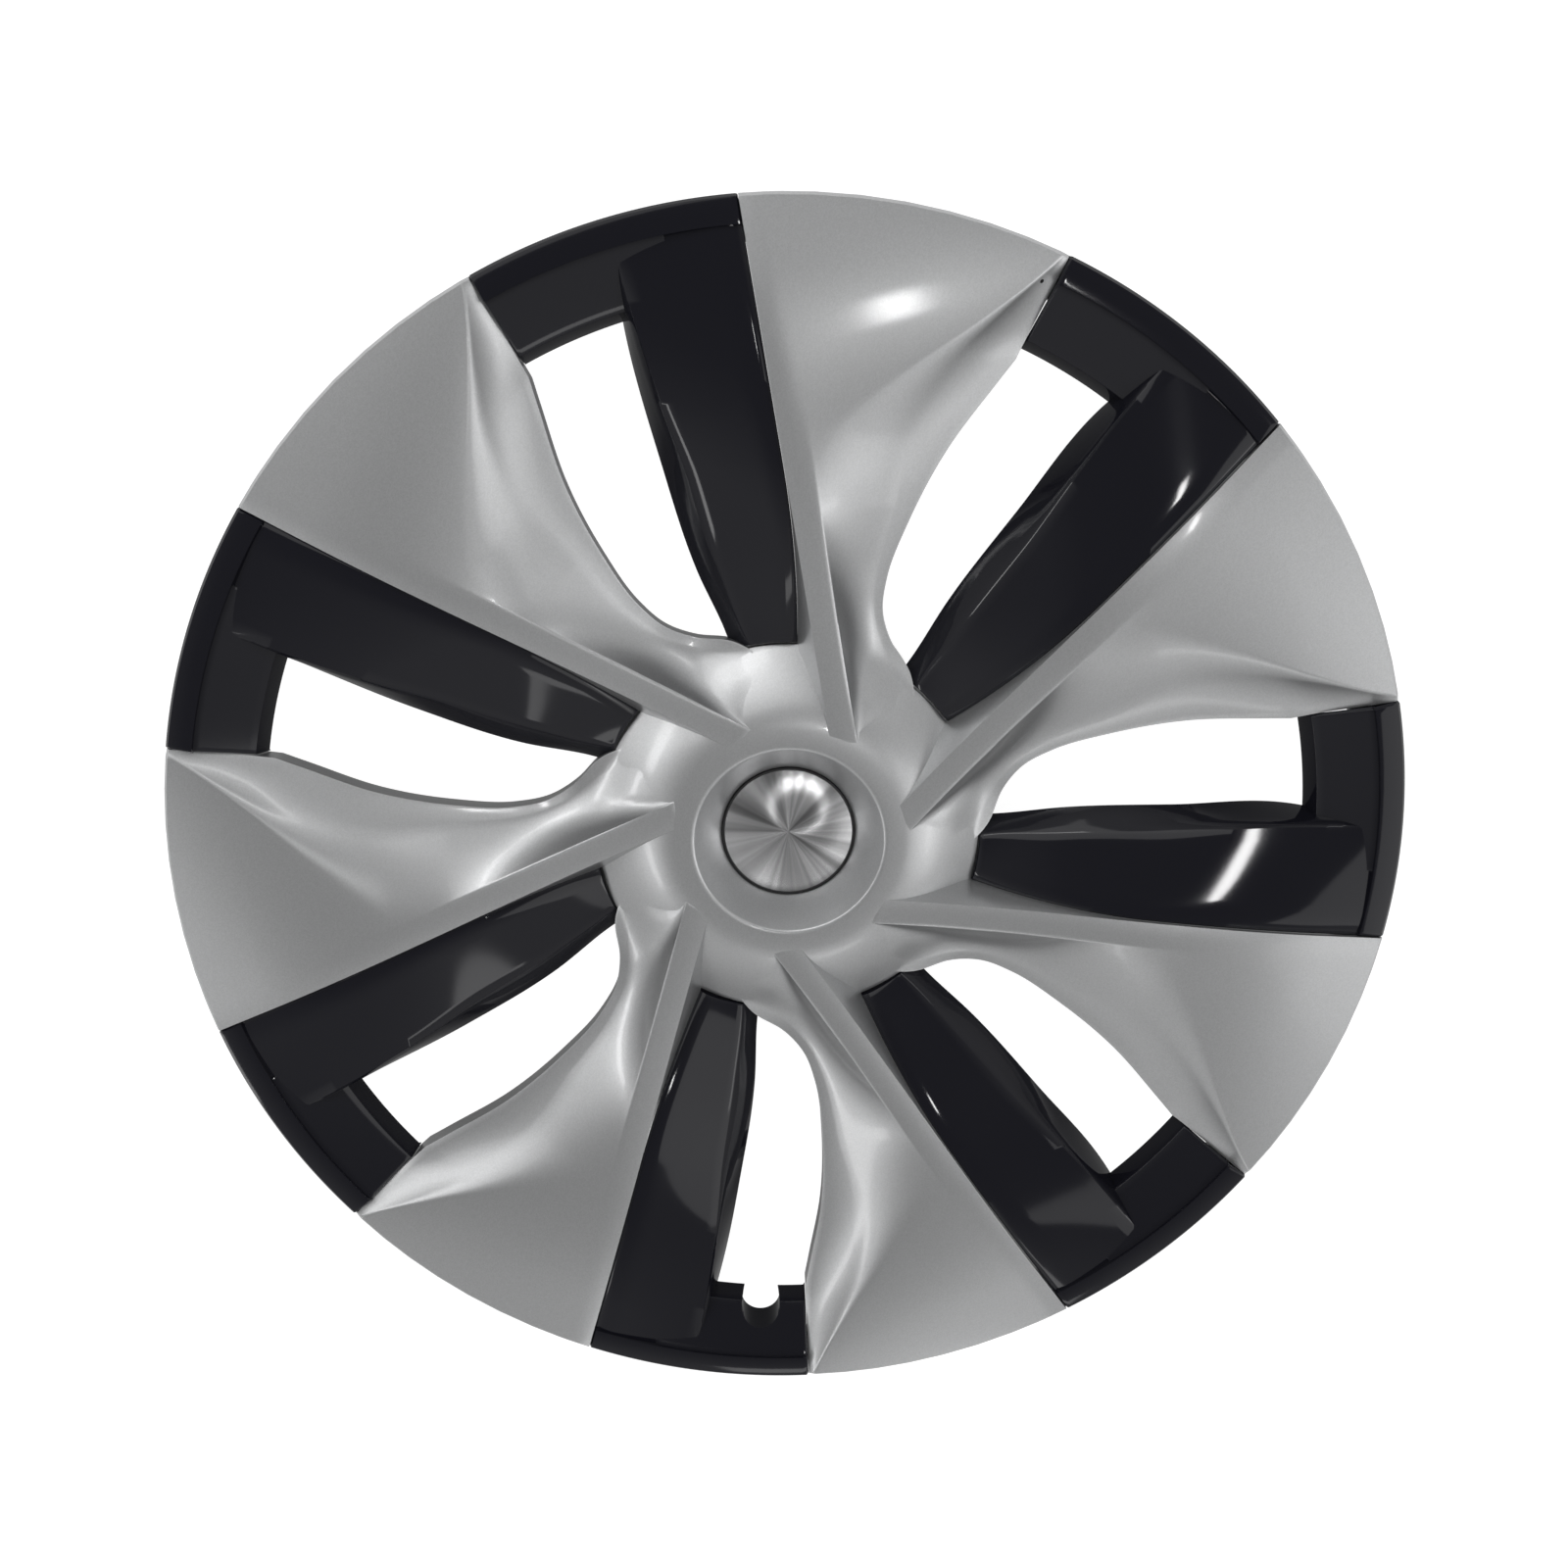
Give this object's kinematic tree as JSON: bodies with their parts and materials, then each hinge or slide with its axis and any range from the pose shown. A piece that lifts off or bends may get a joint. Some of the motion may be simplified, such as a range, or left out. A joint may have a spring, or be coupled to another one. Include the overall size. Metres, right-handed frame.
{
  "type": "wheel_cover",
  "caption": "Full wheel cover with swept silver blades, gloss-black inserts beside narrow vents, a plain round centre cap and spring clips behind it",
  "frame": {"origin": "on the wheel's axis, at the plane of the clip ends on which the cover lies", "axes": "+Z along the wheel's axis, out of the wheel; +Y along the insert opposite the valve side"},
  "size_m": [0.482, 0.482, 0.052],
  "materials": {
    "silver_paint": "silver metallic paint under clear coat on a moulding",
    "black_gloss": "gloss black moulding",
    "black_satin": "satin black moulding",
    "spun_disc": "spun aluminium",
    "spring_steel": "plated spring steel"
  },
  "bodies": {
    "root": {"cover_body": "silver_paint", "insert_1": "black_gloss", "insert_2": "black_gloss", "insert_3": "black_gloss", "insert_4": "black_gloss", "insert_5": "black_gloss", "insert_6": "black_gloss", "insert_valve": "black_gloss", "centre_cap": "black_satin", "cap_disc": "spun_disc", "retaining_clip_1": "spring_steel", "retaining_clip_2": "spring_steel", "retaining_clip_3": "spring_steel", "retaining_clip_4": "spring_steel", "retaining_clip_5": "spring_steel", "retaining_clip_6": "spring_steel", "retaining_clip_7": "spring_steel"}
  },
  "joints": []
}
